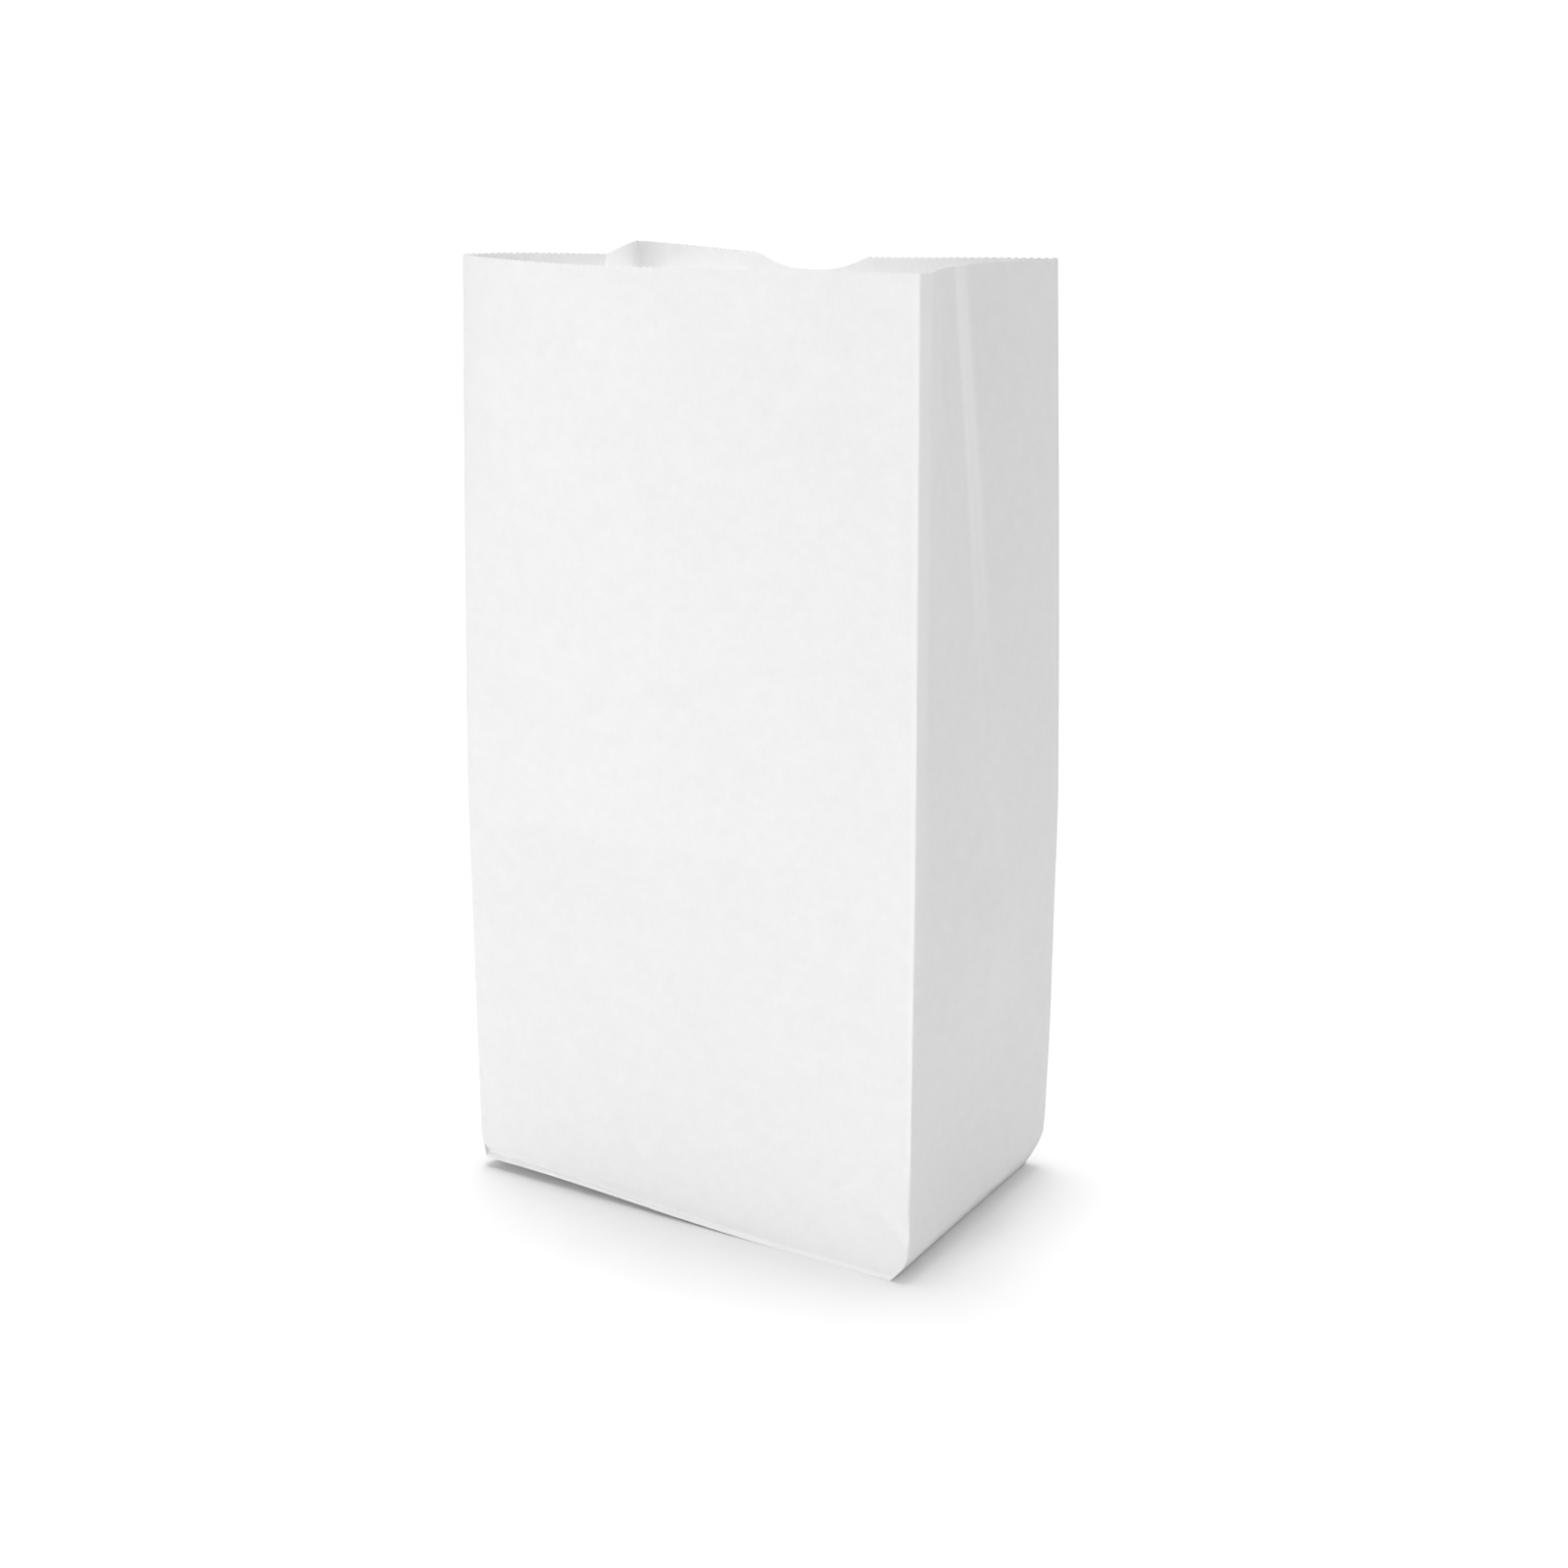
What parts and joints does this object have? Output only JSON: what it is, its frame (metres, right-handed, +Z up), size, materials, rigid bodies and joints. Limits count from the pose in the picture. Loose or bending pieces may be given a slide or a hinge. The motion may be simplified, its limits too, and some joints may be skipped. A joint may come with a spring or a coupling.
{
  "type": "paper grocery bag",
  "caption": "Plain white self-opening paper bag with pleated sides, a saw-tooth top edge, a thumb notch and a folded flat bottom.",
  "frame": {"origin": "on the floor, under the middle of the folded bottom", "axes": "+Z up to the open mouth, -Y out of the front panel, +X to the right along the front panel"},
  "size_m": [0.1571, 0.1033, 0.2814],
  "materials": {
    "white_paper": "matt bleached paper"
  },
  "bodies": {
    "root": {"paper_bag": "white_paper"}
  },
  "joints": []
}
